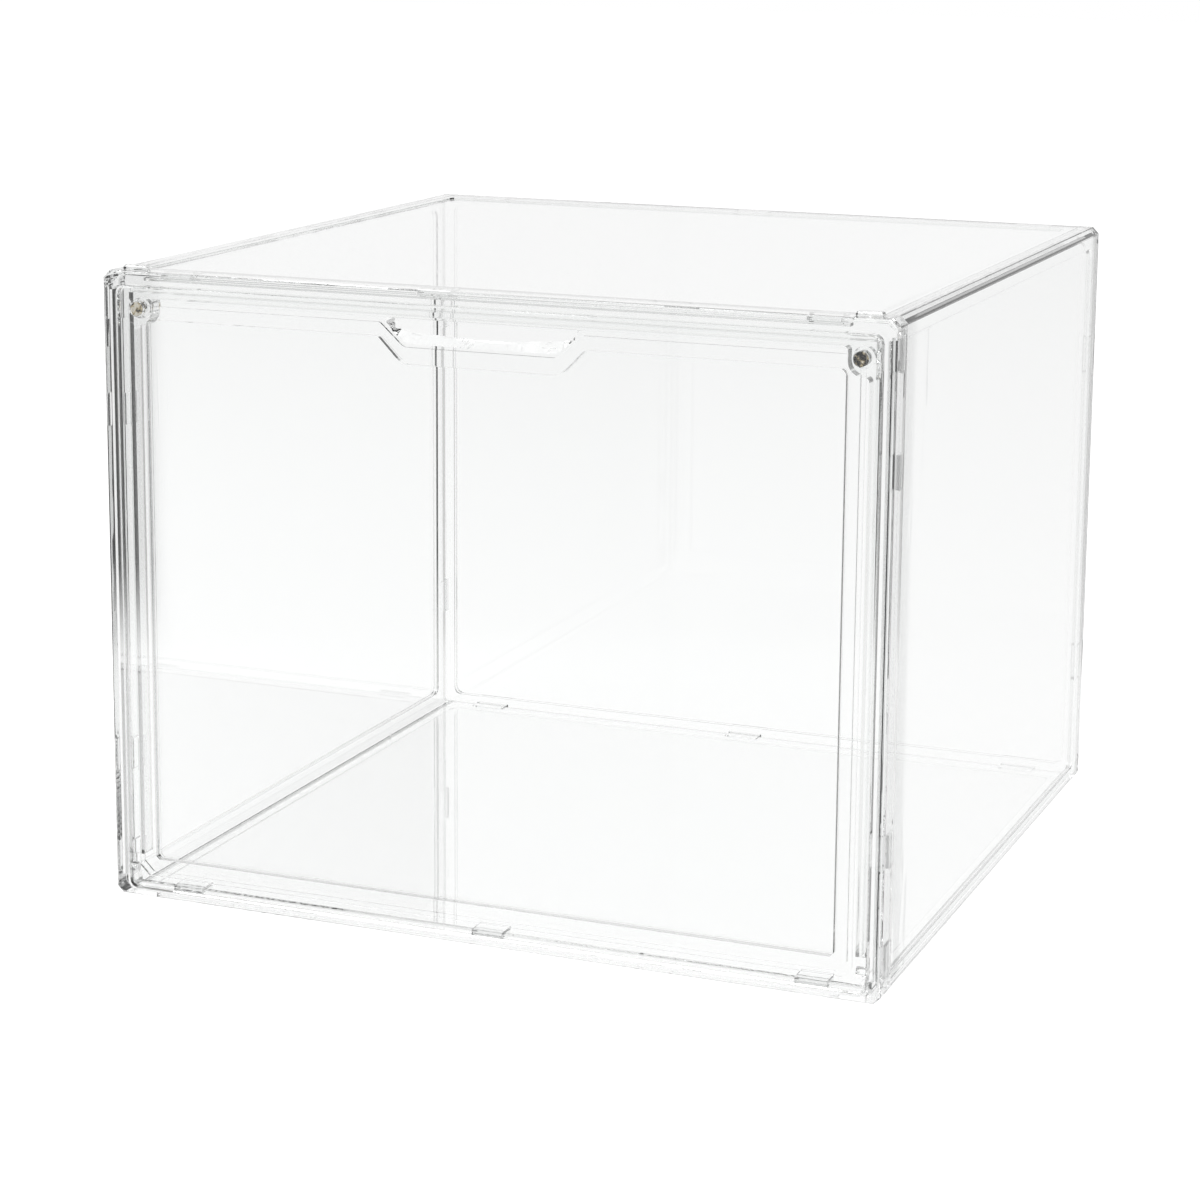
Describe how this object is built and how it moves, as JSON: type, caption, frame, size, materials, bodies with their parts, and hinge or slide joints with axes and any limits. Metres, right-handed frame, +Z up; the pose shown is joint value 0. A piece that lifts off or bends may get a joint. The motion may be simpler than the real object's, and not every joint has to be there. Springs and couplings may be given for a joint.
{
  "type": "display case",
  "caption": "Clear rigid stacking box with a drop-front door, a moulded finger pull at its top edge, magnet catches and snap-together panels.",
  "frame": {"origin": "under the middle of the case, on the surface it stands on", "axes": "+Z up, the front with the door faces -Y, +X to the right as seen from the front"},
  "size_m": [0.355, 0.345, 0.282],
  "materials": {
    "clear_plastic": "polished clear acrylic, crystal clear with clean edges",
    "nickel": "bright nickel plate on a disc magnet"
  },
  "bodies": {
    "case": {"front_frame": "clear_plastic", "left_panel": "clear_plastic", "right_panel": "clear_plastic", "top_panel": "clear_plastic", "bottom_panel": "clear_plastic", "back_panel": "clear_plastic", "frame_magnet_left": "nickel", "frame_magnet_right": "nickel"},
    "door": {"door": "clear_plastic", "door_magnet_left": "nickel", "door_magnet_right": "nickel"}
  },
  "joints": [
    {"name": "door_hinge", "type": "hinge", "parent": "case", "child": "door", "pos_m": [0, -0.1695, 0.0127], "axis": [1, 0, 0], "range_deg": [0, 90]}
  ]
}
